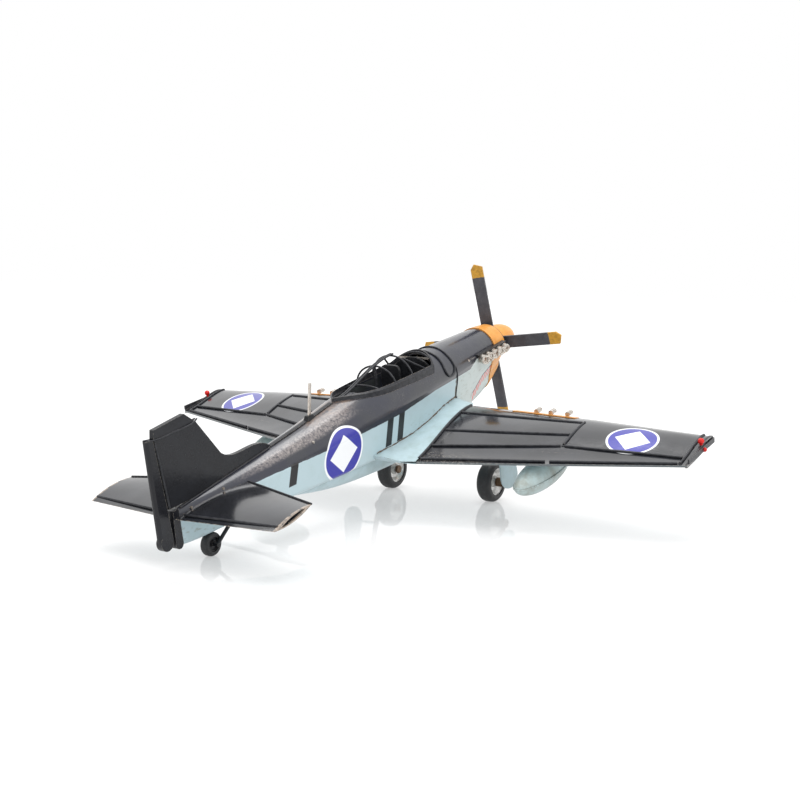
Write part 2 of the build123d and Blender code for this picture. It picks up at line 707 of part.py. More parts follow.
# Tailplane sections: y, front x, rear x, half thickness
TAILPLANE = ((1.5, 22.0, -17.6, 1.2), (46.6, 8.4, -14.0, 1.5))
TAILPLANE_FRONT_Z = 24.4
TAILPLANE_REAR_Z = 22.2


def tailplane_hull(inset):
    """Loft the two bulged skins of one tailplane, drawn in by the given amount."""
    with BuildPart() as hull:
        for y, front, rear, half_thickness in TAILPLANE:
            middle = (front + rear) / 2
            middle_z = (TAILPLANE_FRONT_Z + TAILPLANE_REAR_Z) / 2
            nose = (front - inset * 6, TAILPLANE_FRONT_Z)
            tail = (rear + inset * 6, TAILPLANE_REAR_Z)
            with BuildSketch(Plane.XZ.offset(-y)):
                with BuildLine():
                    ThreePointArc(nose, (middle, middle_z + half_thickness - inset), tail)
                    ThreePointArc(tail, (middle, middle_z - half_thickness + inset), nose)
                make_face()
        loft(ruled=True)
    return hull.part


with BuildPart() as tailplane:
    add(tailplane_hull(0))
    add(tailplane_hull(SHEET), mode=Mode.SUBTRACT)
    add(hull_outside, mode=Mode.SUBTRACT)
    add(stern_post.part, mode=Mode.SUBTRACT)
write_pair(tailplane.part, "tailplane")

with BuildPart() as tailplane_wires:
    rod((20.4, 5.8, 24.5), (8.6, 46.4, 24.5), WIRE)
    rod((-14.6, 4.0, 23.3), (-11.2, 46.0, 23.2), WIRE)
    add(tailplane.part, mode=Mode.SUBTRACT)
    add(hull_outside, mode=Mode.SUBTRACT)
write_both(tailplane_wires.part, "tailplane_wires")

# ------------------------------------------------------------------ undercarriage

LEG_TOP = (164.6, LEG_Y, 7.0)
AXLE_CENTRE = (WHEEL_X, WHEEL_Y, WHEEL_Z)
HUB_WIDTH = 6.0
HUB_INBOARD_Y = WHEEL_Y - HUB_WIDTH / 2
HUB_OUTBOARD_Y = WHEEL_Y + HUB_WIDTH / 2
SIDE_PLAY = 0.3
RETAINER_WIDTH = 1.2
AXLE_END_Y = HUB_INBOARD_Y - SIDE_PLAY - RETAINER_WIDTH
with BuildPart() as main_leg:
    rod((WHEEL_X, LEG_Y, WHEEL_Z), LEG_TOP, LEG_RADIUS)
    rod((WHEEL_X, LEG_Y + 1.6, WHEEL_Z), (WHEEL_X, AXLE_END_Y, WHEEL_Z), AXLE_RADIUS)
    rod((WHEEL_X, LEG_Y + 1.6, WHEEL_Z), (WHEEL_X, HUB_OUTBOARD_Y + SIDE_PLAY, WHEEL_Z), 2.2)
    bent_wire([(166.9, LEG_Y - 0.8, -13.0), (161.0, 31.0, -4.5), (154.0, 23.0, 3.2), (151.0, 20.0, 5.4)],
              0.55)
    add(wing_outside, mode=Mode.SUBTRACT)
write_pair(main_leg.part, "main_leg")

with BuildPart() as wheel_retainer:
    with BuildSketch(Plane.XZ.offset(-AXLE_END_Y)):
        with Locations((WHEEL_X, WHEEL_Z)):
            RegularPolygon(2.1, 6)
            Circle(AXLE_RADIUS, mode=Mode.SUBTRACT)
    extrude(amount=-RETAINER_WIDTH)


def wheel_ring(x, y, z, inner, outer, width, corner):
    """Add a ring with rounded corners that turns about a crosswise axle."""
    half = width / 2
    with BuildSketch(Plane(origin=(x, y, z), x_dir=(0, 1, 0), z_dir=(1, 0, 0))) as profile:
        with BuildLine():
            Line((-half, outer - corner), (-half, inner))
            Line((-half, inner), (half, inner))
            Line((half, inner), (half, outer - corner))
            CenterArc((half - corner, outer - corner), corner, 0, 90)
            Line((half - corner, outer), (corner - half, outer))
            CenterArc((corner - half, outer - corner), corner, 90, 90)
        make_face()
    revolve(profile.sketch, axis=Axis((x, y, z), (0, 1, 0)))


with BuildPart() as tyre:
    wheel_ring(*AXLE_CENTRE, HUB_RADIUS, WHEEL_RADIUS, WHEEL_WIDTH, 2.6)
write_pair(tyre.part, "tyre")

DISH_DEPTH = 1.7
with BuildPart() as wheel_hub:
    with BuildSketch(Plane(origin=AXLE_CENTRE, x_dir=(0, 1, 0), z_dir=(1, 0, 0))):
        with BuildLine():
            half = HUB_WIDTH / 2
            bore = AXLE_RADIUS + RUNNING_FIT
            Polyline((-half, bore), (half, bore), (half, 2.3), (half - DISH_DEPTH, 2.9))
            Line((half - DISH_DEPTH, 2.9), (half - DISH_DEPTH, 4.4))
            Line((half - DISH_DEPTH, 4.4), (half, HUB_RADIUS - 0.7))
            Polyline((half, HUB_RADIUS - 0.7), (half, HUB_RADIUS), (-half, HUB_RADIUS),
                     (-half, HUB_RADIUS - 0.7), (DISH_DEPTH - half, 4.4), (DISH_DEPTH - half, 2.9),
                     (-half, 2.3), (-half, bore))
        make_face()
    revolve(axis=Axis(AXLE_CENTRE, (0, 1, 0)))
write_pair(wheel_hub.part, "wheel_hub")

DOOR_TOP_Y = 42.6
DOOR_BOTTOM_Y = 45.4
with BuildPart() as gear_door:
    door_plane = Plane(origin=(157.5, DOOR_TOP_Y, 3.0), x_dir=(1, 0, 0),
                       z_dir=(0, 26.0, DOOR_BOTTOM_Y - DOOR_TOP_Y))
    with BuildSketch(door_plane):
        with BuildLine():
            Polyline((-7.4, 19.5), (-4.2, -2.5), (4.6, -2.5), (8.0, 19.5))
            Spline((8.0, 19.5), (6.0, 24.4), (0.4, 26.2), (-5.4, 24.4), (-7.4, 19.5))
        make_face()
    extrude(amount=SHEET)
    rod((WHEEL_X - 1, LEG_Y + 0.8, -16.0), (160.5, DOOR_BOTTOM_Y - 0.9, -16.0), 0.6)
    rod((166.0, LEG_Y + 0.8, -3.0), (160.0, DOOR_TOP_Y + 0.6, -3.0), 0.6)
    add(main_leg.part, mode=Mode.SUBTRACT)
    add(wing_outside, mode=Mode.SUBTRACT)
write_pair(gear_door.part, "gear_door")

# The tail wheel's axle, in the level airframe
TAIL_AXLE_X = TAIL_WHEEL_RADIUS * sin(radians(ATTITUDE))
TAIL_AXLE_Z = TAIL_WHEEL_RADIUS * cos(radians(ATTITUDE))
TAIL_AXLE = (TAIL_AXLE_X, 0, TAIL_AXLE_Z)
TAIL_LEG_Y = -3.1
TAIL_AXLE_RADIUS = 0.7
TAIL_AXLE_END_Y = 2.9
with BuildPart() as tail_strut:
    rod((TAIL_AXLE_X, TAIL_LEG_Y, TAIL_AXLE_Z), (13.0, -1.2, 9.8), 0.8)
    rod((TAIL_AXLE_X, TAIL_LEG_Y - 0.8, TAIL_AXLE_Z), (TAIL_AXLE_X, TAIL_AXLE_END_Y, TAIL_AXLE_Z),
        TAIL_AXLE_RADIUS)
    add(hull_outside, mode=Mode.SUBTRACT)
write(tail_strut.part, "tail_strut")

with BuildPart() as tail_retainer:
    with BuildSketch(Plane.XZ.offset(-TAIL_AXLE_END_Y)):
        with Locations((TAIL_AXLE_X, TAIL_AXLE_Z)):
            Circle(1.3)
            Circle(TAIL_AXLE_RADIUS, mode=Mode.SUBTRACT)
    extrude(amount=0.8)

with BuildPart() as wheel_retainers:
    add(wheel_retainer.part)
    mirror(wheel_retainer.part, about=Plane.XZ)
    add(tail_retainer.part)
write(wheel_retainers.part, "wheel_retainers")

with BuildPart() as tail_tyre:
    wheel_ring(*TAIL_AXLE, 2.9, TAIL_WHEEL_RADIUS, TAIL_WHEEL_WIDTH, 1.2)
write(tail_tyre.part, "tail_tyre")

with BuildPart() as tail_hub:
    wheel_ring(*TAIL_AXLE, TAIL_AXLE_RADIUS + RUNNING_FIT, 2.9, TAIL_WHEEL_WIDTH - 0.8, 0.2)
    for side in (-1, 1):
        with BuildSketch(Plane.XZ.offset(side * (TAIL_WHEEL_WIDTH - 0.8) / 2)):
            with Locations((TAIL_AXLE_X, TAIL_AXLE_Z)):
                Circle(2.4)
                Circle(1.2, mode=Mode.SUBTRACT)
        extrude(amount=-side * 0.5, mode=Mode.SUBTRACT)
write(tail_hub.part, "tail_hub")

# ------------------------------------------------------------------ propeller

COLLAR_RADIUS = 3.0
BUSH_REAR = BULKHEAD_X - 6.0
BUSH_FRONT = 225.4
with BuildPart() as shaft_bush:
    with BuildSketch(across(BUSH_REAR)):
        with Locations((0, THRUST_Z)):
            Circle(BUSH_RADIUS)
            Circle(SHAFT_RADIUS + RUNNING_FIT, mode=Mode.SUBTRACT)
    extrude(amount=BUSH_FRONT - BUSH_REAR)
write(shaft_bush.part, "shaft_bush")

SHAFT_REAR = BUSH_REAR - SIDE_PLAY - 2.0
SHAFT_FRONT = 240.0
with BuildPart() as propeller_shaft:
    rod((SHAFT_REAR, 0, THRUST_Z), (SHAFT_FRONT, 0, THRUST_Z), SHAFT_RADIUS)
    rod((SHAFT_REAR, 0, THRUST_Z), (SHAFT_REAR + 2.0, 0, THRUST_Z), COLLAR_RADIUS)
write(propeller_shaft.part, "propeller_shaft")

SPINNER_REAR = PROP_DISC_X + PROP_DISC_THICKNESS
SPINNER_RADIUS = 8.4
SPINNER_LENGTH = 19.6
SPINNER_STRAIGHT = 3.0
with BuildPart() as spinner:
    with BuildSketch(Plane(origin=(SPINNER_REAR, 0, THRUST_Z), x_dir=(1, 0, 0), z_dir=(0, -1, 0))):
        with BuildLine():
            Line((SPINNER_STRAIGHT, 0), (0, 0))
            Line((0, 0), (0, SPINNER_RADIUS))
            Line((0, SPINNER_RADIUS), (SPINNER_STRAIGHT, SPINNER_RADIUS))
            EllipticalCenterArc((SPINNER_STRAIGHT, 0), SPINNER_LENGTH - SPINNER_STRAIGHT, SPINNER_RADIUS, 0)
            Line((SPINNER_LENGTH, 0), (SPINNER_STRAIGHT, 0))
        make_face()
    revolve(axis=Axis((0, 0, THRUST_Z), (1, 0, 0)))
    with BuildSketch(Plane(origin=(SPINNER_REAR, 0, THRUST_Z), x_dir=(1, 0, 0), z_dir=(0, -1, 0))):
        with BuildLine():
            Line((0, 0), (0, SPINNER_RADIUS - 1))
            Line((0, SPINNER_RADIUS - 1), (SPINNER_STRAIGHT, SPINNER_RADIUS - 1))
            EllipticalCenterArc((SPINNER_STRAIGHT, 0), SPINNER_LENGTH - SPINNER_STRAIGHT - 1, SPINNER_RADIUS - 1,
                                0)
            Line((SPINNER_LENGTH - 1, 0), (0, 0))
        make_face()
    revolve(axis=Axis((0, 0, THRUST_Z), (1, 0, 0)), mode=Mode.SUBTRACT)
write(spinner.part, "spinner")

TIP_CLIP = 1.6
with BuildPart() as propeller_blades:
    with BuildSketch(across(PROP_DISC_X)):
        with Locations((0, THRUST_Z)):
            Circle(6.6)
    extrude(amount=PROP_DISC_THICKNESS)
    for quarter in range(4):
        turn = radians(BLADE_LEAN + 90 * quarter)
        along = Vector(0, sin(turn), cos(turn))
        beside = along.cross(Vector(1, 0, 0))
        pitched = beside.rotate(Axis((0, 0, 0), along), BLADE_PITCH)
        middle_x = PROP_DISC_X + PROP_DISC_THICKNESS / 2
        flat = Plane(origin=(middle_x, 0, THRUST_Z), x_dir=along, z_dir=along.cross(pitched))
        half = BLADE_CHORD / 2
        with BuildSketch(flat):
            with BuildLine():
                Polyline((0, -half), (PROP_RADIUS - TIP_CLIP, -half), (PROP_RADIUS, half * 0.35),
                         (PROP_RADIUS - TIP_CLIP * 1.6, half), (0, half), close=True)
            make_face()
        extrude(amount=BLADE_THICKNESS / 2, both=True)
    with BuildSketch(across(PROP_DISC_X - 3)):
        with Locations((0, THRUST_Z)):
            Circle(SHAFT_RADIUS)
    extrude(amount=8, mode=Mode.SUBTRACT)
    add(spinner.part, mode=Mode.SUBTRACT)
    with BuildSketch(across(SPINNER_REAR)):
        with Locations((0, THRUST_Z)):
            Circle(SPINNER_RADIUS)
    extrude(amount=4, mode=Mode.SUBTRACT)
write(propeller_blades.part, "propeller_blades")

RIVET_RADIUS = 0.55
RIVET_HEIGHT = 0.35
with BuildPart() as rivet_row:
    for x, z in ((-9.0, 24.0), (8.0, 25.6), (184.0, 30.0), (60.0, 28.0)):
        rod((x, side_y(x, z) - SHEET / 2, z), (x, side_y(x, z) + RIVET_HEIGHT, z), RIVET_RADIUS)
write_both(rivet_row.part, "rivets")
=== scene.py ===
import json
import math
import random

import bmesh
import bpy
from mathutils import Matrix, Vector
from mathutils.bvhtree import BVHTree
from mathutils.noise import noise as lump


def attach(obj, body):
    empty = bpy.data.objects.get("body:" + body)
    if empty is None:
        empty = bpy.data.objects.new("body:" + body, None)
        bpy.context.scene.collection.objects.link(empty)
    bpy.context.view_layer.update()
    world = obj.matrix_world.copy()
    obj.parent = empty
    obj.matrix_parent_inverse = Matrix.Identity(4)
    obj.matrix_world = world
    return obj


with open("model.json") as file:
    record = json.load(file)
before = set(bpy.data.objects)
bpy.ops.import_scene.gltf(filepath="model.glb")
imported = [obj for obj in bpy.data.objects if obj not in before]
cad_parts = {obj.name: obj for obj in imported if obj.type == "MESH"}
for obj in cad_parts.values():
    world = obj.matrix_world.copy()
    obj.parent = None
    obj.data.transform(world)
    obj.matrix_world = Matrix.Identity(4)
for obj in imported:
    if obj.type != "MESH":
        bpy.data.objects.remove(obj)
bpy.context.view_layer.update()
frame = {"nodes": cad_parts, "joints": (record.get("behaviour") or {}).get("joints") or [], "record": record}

nodes = frame["nodes"]
random.seed(7)

# The airframe is described level and in millimetres, with the origin at the tail wheel's contact.
# at() turns such a place into the standing model's frame, in metres.
ATTITUDE = math.radians(12.0)    # nose-up angle of the standing model
NOSE_UP, LEVEL = math.sin(ATTITUDE), math.cos(ATTITUDE)
TAIL = next(j for j in frame["joints"] if j["name"] == "tail_wheel_spin")["pos_m"][0] * 1000
THRUST_Z = 27.4                  # height of the propeller's axis
TIP_PAINT = 35.4                 # how far from that axis the blades' painted tips begin
SPINNER_GAP_SHADE = 224.2              # where the painted shade of the gap behind the spinner lies
COWL_SEAM = 170.1                # joint between the cowl and the fuselage
SIDE_DISC, SIDE_DISC_RADIUS = (77.6, 17.1), 12.2       # x, z and radius of the fuselage's discs
WING_DISC, WING_DISC_RADIUS = (152.6, 111.0), 11.6     # x, y and radius of the wings' discs
SIDE_PATCHES = ((110.5, 16.4, 4.6, 12.8), (119.5, 16.4, 4.6, 12.8), (45.4, 18.6, 4.6, 9.6))
PATCH_LEAN = 0.12

# (x, z) points of the border between the dark top and the pale sides, and of the line above the
# nose stripes
BORDER = ((-20, 22.6), (20, 22.8), (35, 23), (65, 22.3), (120, 22.6), (150, 25), (185, 25.2),
          (192, 28.6), (215, 30.4), (225, 30.5))
STRIPE_LINE = ((186, 9.5), (191.6, 12), (201.7, 17.6), (213.6, 20.6), (226, 23))
STRIPE_PITCH, STRIPE_DEPTH, STRIPE_SLANT = 3.1, 4.2, 0.55


def at(x, y, z):
    return Vector((LEVEL * x - NOSE_UP * z + TAIL, y, NOSE_UP * x + LEVEL * z)) / 1000


def turned(x, y, z):
    """The same for a direction."""
    return Vector((LEVEL * x - NOSE_UP * z, y, NOSE_UP * x + LEVEL * z))


def tint(code):
    """Linear colour of an sRGB hex code."""
    parts = [int(code[i:i + 2], 16) / 255 for i in (0, 2, 4)]
    return tuple(p / 12.92 if p <= 0.04045 else ((p + 0.055) / 1.055) ** 2.4 for p in parts) + (1.0,)


class Finish:
    """Builds one node material. Its coordinates are the level airframe's, in millimetres."""

    def __init__(self, name, **settings):
        self.material = bpy.data.materials.new(name)
        self.material.use_nodes = True
        self.tree = self.material.node_tree
        self.tree.nodes.clear()
        out = self.tree.nodes.new("ShaderNodeOutputMaterial")
        self.shader = self.tree.nodes.new("ShaderNodeBsdfPrincipled")
        self.tree.links.new(self.shader.outputs[0], out.inputs[0])
        for socket, value in settings.items():
            self.shader.inputs[socket.replace("_", " ")].default_value = value
        texture = self.tree.nodes.new("ShaderNodeTexCoord")
        self.place = self.node("Mapping", texture.outputs["Object"], (-TAIL * LEVEL, 0, TAIL * NOSE_UP),
                               (0, ATTITUDE, 0), (1000, 1000, 1000))
        split = self.tree.nodes.new("ShaderNodeSeparateXYZ")
        self.tree.links.new(self.place, split.inputs[0])
        self.x, self.y, self.z = split.outputs
        facing = self.tree.nodes.new("ShaderNodeSeparateXYZ")
        self.tree.links.new(texture.outputs["Normal"], facing.inputs[0])
        self.up = facing.outputs[2]

    def plug(self, value, socket):
        if isinstance(value, bpy.types.NodeSocket):
            self.tree.links.new(value, socket)
        elif value is not None:
            socket.default_value = value

    def node(self, kind, *inputs, out=0, **settings):
        made = self.tree.nodes.new("ShaderNode" + kind)
        for key, value in settings.items():
            setattr(made, key, value)
        for socket, value in zip(made.inputs, inputs):
            self.plug(value, socket)
        return made.outputs[out]

    def math(self, operation, *inputs):
        return self.node("Math", *inputs, operation=operation)

    def rise(self, value, low, high):
        """0 below low, 1 above high, smooth between them; low may be the higher."""
        if low > high:
            return self.math("SUBTRACT", 1.0, self.rise(value, high, low))
        return self.node("MapRange", value, low, high, 0.0, 1.0, interpolation_type="SMOOTHSTEP")

    def reach(self, a, b):
        """Distance from the place where a and b are nought."""
        return self.math("SQRT", self.math("ADD", self.math("MULTIPLY", a, a), self.math("MULTIPLY", b, b)))

    def both(self, *masks):
        """1 only where all the masks are."""
        result = masks[0]
        for mask in masks[1:]:
            result = self.math("MULTIPLY", result, mask)
        return result

    def noise(self, scale, detail=4.0, rough=0.55, stretch=(1, 1, 1)):
        vector = self.node("Mapping", self.place, (3.1, 7.7, 1.3), (0, 0, 0), stretch)
        return self.node("TexNoise", vector, None, scale, detail, rough)

    def mix(self, share, first, second):
        made = self.tree.nodes.new("ShaderNodeMix")
        made.data_type = "RGBA"
        for index, value in ((0, share), (6, first), (7, second)):
            self.plug(value, made.inputs[index])
        return made.outputs[2]

    def edges(self, width, low=0.02, high=0.25):
        """1 along the sharp edges, within about width millimetres."""
        bevel = self.node("Bevel", width / 1000, samples=4)
        true = self.node("NewGeometry", out=1)
        dot = self.node("VectorMath", bevel, true, operation="DOT_PRODUCT", out=1)
        return self.rise(self.math("SUBTRACT", 1.0, dot), low, high)

    def spot(self, centre, radii, soft=0.6):
        """1 in the middle of an ellipsoid, fading out at its surface."""
        scaled = self.node("Mapping", self.place, tuple(-c / r for c, r in zip(centre, radii)), (0, 0, 0),
                           tuple(1 / r for r in radii))
        return self.rise(self.node("VectorMath", scaled, operation="LENGTH", out=1), 1.0, 1.0 - soft)

    def done(self, colour, rough=None, bump=None, height=0.1):
        self.plug(colour, self.shader.inputs["Base Color"])
        if rough is not None:
            self.plug(rough, self.shader.inputs["Roughness"])
        if bump is not None:
            made = self.tree.nodes.new("ShaderNodeBump")
            made.inputs["Strength"].default_value = 1.0
            made.inputs["Distance"].default_value = height / 1000
            self.plug(bump, made.inputs["Height"])
            self.plug(made.outputs[0], self.shader.inputs["Normal"])
        return self.material


DARK, NAVY, PALE = tint("1a1b1f"), tint("1b1e2e"), tint("b1c5cb")
COWL, ORANGE, RED = tint("bcc6c4"), tint("dc9a4c"), tint("d9554f")
BLUE, WHITE, BLACK = tint("35359c"), tint("eef0f2"), tint("141416")


def dark_colours(f, base):
    """Dark enamel: cloudy, dusty in places, rubbed to brown where hands have been."""
    cloudy = f.mix(f.rise(f.noise(0.06, 3), 0.3, 0.75), base, tint("282a30"))
    speckle = f.rise(f.noise(1.6, 6, 0.7), 0.5, 0.68)
    worn = f.math("MAXIMUM", f.spot((84, 0, 36), (20, 11, 8)),
                  f.math("MULTIPLY", f.spot((70, 0, 33), (10, 8, 8)), 0.9))
    colour = f.mix(f.both(worn, f.rise(f.noise(0.5, 5, 0.7), 0.3, 0.65)), cloudy, tint("6a574c"))
    dust = f.both(speckle, f.rise(f.noise(0.09, 2), 0.5, 0.8))
    return f.mix(f.math("MULTIPLY", dust, 0.5), colour, tint("6d6a68")), worn


def uneven(f, texture, spread, least):
    """A roughness that a texture moves up from the least value."""
    return f.math("ADD", f.math("MULTIPLY", texture, spread), least)


def paint_bump(f):
    """Dented sheet under a fine orange peel."""
    sheet = f.noise(0.045, 2, 0.4)
    peel = f.noise(0.9, 3, 0.5)
    return f.math("ADD", f.math("MULTIPLY", sheet, 6.0), f.math("MULTIPLY", peel, 0.28))


def ringed_disc(f, colour, a, b, radius, shown):
    """A painted disc: white rim, blue field and a plain white diamond."""
    distance = f.reach(a, b)
    colour = f.mix(f.both(f.rise(distance, radius + 0.15, radius - 0.15), shown), colour, WHITE)
    colour = f.mix(f.both(f.rise(distance, radius - 0.85, radius - 1.1), shown), colour, BLUE)
    diamond = f.math("ADD", f.math("ABSOLUTE", a), f.math("ABSOLUTE", b))
    return f.mix(f.both(f.rise(diamond, radius * 0.72, radius * 0.69), shown), colour, WHITE)


def patch(f, colour, x, z, width, height):
    """A plain slanted black patch."""
    high = f.math("SUBTRACT", f.z, z)
    middle = f.math("ADD", f.math("MULTIPLY", high, PATCH_LEAN), x)
    across = f.math("ABSOLUTE", f.math("SUBTRACT", f.x, middle))
    inside = f.both(f.rise(across, width / 2 + 0.1, width / 2 - 0.1),
                    f.rise(f.math("ABSOLUTE", high), height / 2 + 0.1, height / 2 - 0.1))
    return f.mix(inside, colour, BLACK)


def height_at(f, points, top=40):
    """The height over x of a line through (x, height) points; no height is above top."""
    low, high = points[0][0], points[-1][0]
    ramp = f.tree.nodes.new("ShaderNodeValToRGB")
    stops = ramp.color_ramp.elements
    while len(stops) < len(points):
        stops.new(0.5)
    for stop, (x, height) in zip(stops, points):
        stop.position = (x - low) / (high - low)
        stop.color = (height / top,) * 3 + (1,)
    f.plug(f.node("MapRange", f.x, low, high, 0.0, 1.0), ramp.inputs[0])
    return f.math("MULTIPLY", ramp.outputs[0], top)


def fuselage_paint():
    """Dark above the border and pale below it, with the discs, patches, nose stripes and a painted highlight
    along the shoulders.
    """
    f = Finish("fuselage_paint", Specular_IOR_Level=0.4, Coat_Roughness=0.14)
    wobble = f.math("MULTIPLY", f.math("SUBTRACT", f.noise(0.35, 3), 0.5), 0.5)
    above = f.rise(f.math("SUBTRACT", f.math("ADD", f.z, wobble), height_at(f, BORDER)), -0.12, 0.12)
    f.plug(f.math("MULTIPLY", above, 0.9), f.shader.inputs["Coat Weight"])

    # the dark top, with a painted highlight: a pale, dusty-looking sheen along the shoulders behind the
    # cockpit
    dark, worn = dark_colours(f, NAVY)
    # painted highlight: a pale band on the faces that turn half upwards, standing in for a softbox's
    # reflection
    shoulder_sheen = f.both(f.rise(f.up, 0.42, 0.62), f.rise(f.up, 0.92, 0.78),
                      f.rise(f.x, 8, 40), f.rise(f.x, 96, 78))
    dark = f.mix(f.both(shoulder_sheen, f.rise(f.noise(0.9, 6, 0.75), 0.3, 0.7), 0.8), dark, tint("a39a96"))

    # the pale sides, grimy on the cowl, at the stern and along the wing roots
    cowl = f.mix(f.rise(f.x, COWL_SEAM - 0.5, COWL_SEAM + 0.5), PALE, COWL)
    clouds = f.math("MULTIPLY", f.rise(f.noise(0.12, 5, 0.65), 0.45, 0.8), 0.35)
    streak = f.rise(f.noise(0.7, 6, 0.7, (0.35, 1, 1)), 0.52, 0.75)
    grimy = f.math("MAXIMUM", f.both(f.rise(f.x, 166, 175), 0.55), f.rise(f.x, 12, -6))
    for side in (-1, 1):
        grimy = f.math("MAXIMUM", grimy, f.spot((150, side * 14, 13), (42, 4, 4.5)))
    pale = f.mix(f.both(grimy, streak), f.mix(clouds, cowl, tint("9fb3b2")), tint("7e7c6c"))
    seam = f.rise(f.math("ABSOLUTE", f.math("SUBTRACT", f.x, COWL_SEAM)), 1.1, 0.2)
    pale = f.mix(f.both(seam, f.rise(f.noise(0.5, 4), 0.4, 0.62)), pale, tint("57482f"))

    # red stripes under a dark line on the nose
    drop = f.math("SUBTRACT", height_at(f, STRIPE_LINE), f.z)
    on_nose = f.rise(f.x, 189, 191)
    slanted = f.math("ADD", f.x, f.math("MULTIPLY", drop, STRIPE_SLANT))
    stripes = f.rise(f.math("FRACT", f.math("DIVIDE", slanted, STRIPE_PITCH)), 0.5, 0.44)
    band = f.both(f.rise(drop, 0.2, 0.5), on_nose, f.rise(drop, STRIPE_DEPTH + 0.2, STRIPE_DEPTH - 0.2))
    pale = f.mix(f.both(band, stripes), pale, RED)
    line = f.rise(f.math("ABSOLUTE", drop), 0.42, 0.22)
    pale = f.mix(f.both(line, on_nose), pale, tint("33343c"))

    colour = f.mix(above, pale, dark)
    a, b = f.math("SUBTRACT", f.x, SIDE_DISC[0]), f.math("SUBTRACT", f.z, SIDE_DISC[1])
    outside = f.rise(f.math("ABSOLUTE", f.y), 2, 3)
    colour = ringed_disc(f, colour, f.math("MULTIPLY", a, 0.94), b, SIDE_DISC_RADIUS, outside)
    for place in SIDE_PATCHES:
        colour = patch(f, colour, *place)
    colour = f.mix(f.both(f.edges(0.35), 0.55), colour, tint("8f8a80"))
    rough = uneven(f, f.noise(0.3, 4), 0.25, uneven(f, worn, 0.15, 0.2))
    return f.done(colour, rough, paint_bump(f), 0.09)


def wing_paint():
    """Dark on top with the discs, pale below; rubbed at the roots and rear edges."""
    f = Finish("wing_paint", Specular_IOR_Level=0.5, Coat_Weight=0.8, Coat_Roughness=0.1)
    dark = dark_colours(f, DARK)[0]
    rear = f.math("MAXIMUM", f.spot((108, 44, 8), (14, 46, 9)), f.spot((108, -44, 8), (14, 46, 9)))
    root = f.math("MAXIMUM", f.spot((166, 28, 12), (8, 14, 6)), f.spot((166, -28, 12), (8, 14, 6)))
    rubbed = f.math("MAXIMUM", f.both(rear, f.rise(f.noise(0.8, 6, 0.75), 0.42, 0.7)),
                    f.both(root, f.rise(f.noise(1.0, 6, 0.7), 0.42, 0.7)))
    dark = f.mix(f.math("MULTIPLY", rubbed, 0.75), dark, tint("7d7770"))
    dark = f.mix(f.both(f.edges(0.4), f.rise(f.noise(0.6, 4), 0.35, 0.6)), dark, tint("9a9186"))
    for side in (-1, 1):
        a, b = f.math("SUBTRACT", f.x, WING_DISC[0]), f.math("SUBTRACT", f.y, side * WING_DISC[1])
        dark = ringed_disc(f, dark, a, b, WING_DISC_RADIUS, f.rise(f.up, 0.3, 0.5))
    clouds = f.math("MULTIPLY", f.rise(f.noise(0.15, 5, 0.65), 0.42, 0.75), 0.5)
    colour = f.mix(f.rise(f.up, -0.35, -0.15), f.mix(clouds, PALE, tint("93a6a5")), dark)

    # the tailplane's open ends, rubbed bare
    out = f.math("ABSOLUTE", f.y)
    bare = f.both(f.rise(out, 45.6, 46.0), f.rise(out, 47.4, 47.0), f.rise(f.x, 30, 25))
    colour = f.mix(f.both(bare, f.rise(f.noise(0.5, 5), 0.35, 0.55)), colour, tint("a39384"))
    rough = uneven(f, f.noise(0.25, 4), 0.16, uneven(f, rubbed, 0.25, 0.06))
    return f.done(colour, rough, paint_bump(f), 0.1)


def simple(name, base, second, scale=0.3, share=0.5, rough=0.35, chips=None, chip_edges=0.3,
           metallic=0.0, bump=0.06):
    """Enamel or metal with clouding, chipped edges, uneven gloss and a little relief."""
    f = Finish(name, Metallic=metallic, Specular_IOR_Level=0.5 if metallic else 0.3)
    clouds = f.rise(f.noise(scale, 5, 0.65), 0.35, 0.75)
    colour = f.mix(f.math("MULTIPLY", clouds, share), base, second)
    fine = f.rise(f.noise(2.2, 6, 0.7), 0.55, 0.72)
    colour = f.mix(f.math("MULTIPLY", fine, 0.25), colour, second)
    if chips is not None:
        colour = f.mix(f.both(f.edges(chip_edges), f.rise(f.noise(0.8, 5, 0.6), 0.38, 0.58)), colour, chips)
    return f.done(colour, uneven(f, f.noise(0.5, 5, 0.6), 0.2, rough - 0.1), f.noise(0.8, 4, 0.55), bump)


def orange_paint():
    """Orange enamel, with painted shade: a dark band for the gap that runs round behind the spinner."""
    f = Finish("orange_paint", Specular_IOR_Level=0.3)
    colour = f.mix(f.math("MULTIPLY", f.rise(f.noise(0.18, 5, 0.65), 0.35, 0.75), 0.7), ORANGE, tint("c98330"))
    colour = f.mix(f.both(f.edges(0.25), f.rise(f.noise(0.8, 5, 0.6), 0.38, 0.58)), colour, tint("7c5526"))
    # painted shade: a dark band round the ring's front edge, where the gap to the spinner lies in shadow
    gap_shade = f.rise(f.math("ABSOLUTE", f.math("SUBTRACT", f.x, SPINNER_GAP_SHADE)), 0.7, 0.45)
    colour = f.mix(gap_shade, colour, tint("2a211a"))
    return f.done(colour, uneven(f, f.noise(0.5, 5, 0.6), 0.2, 0.22), f.noise(0.8, 4), 0.06)


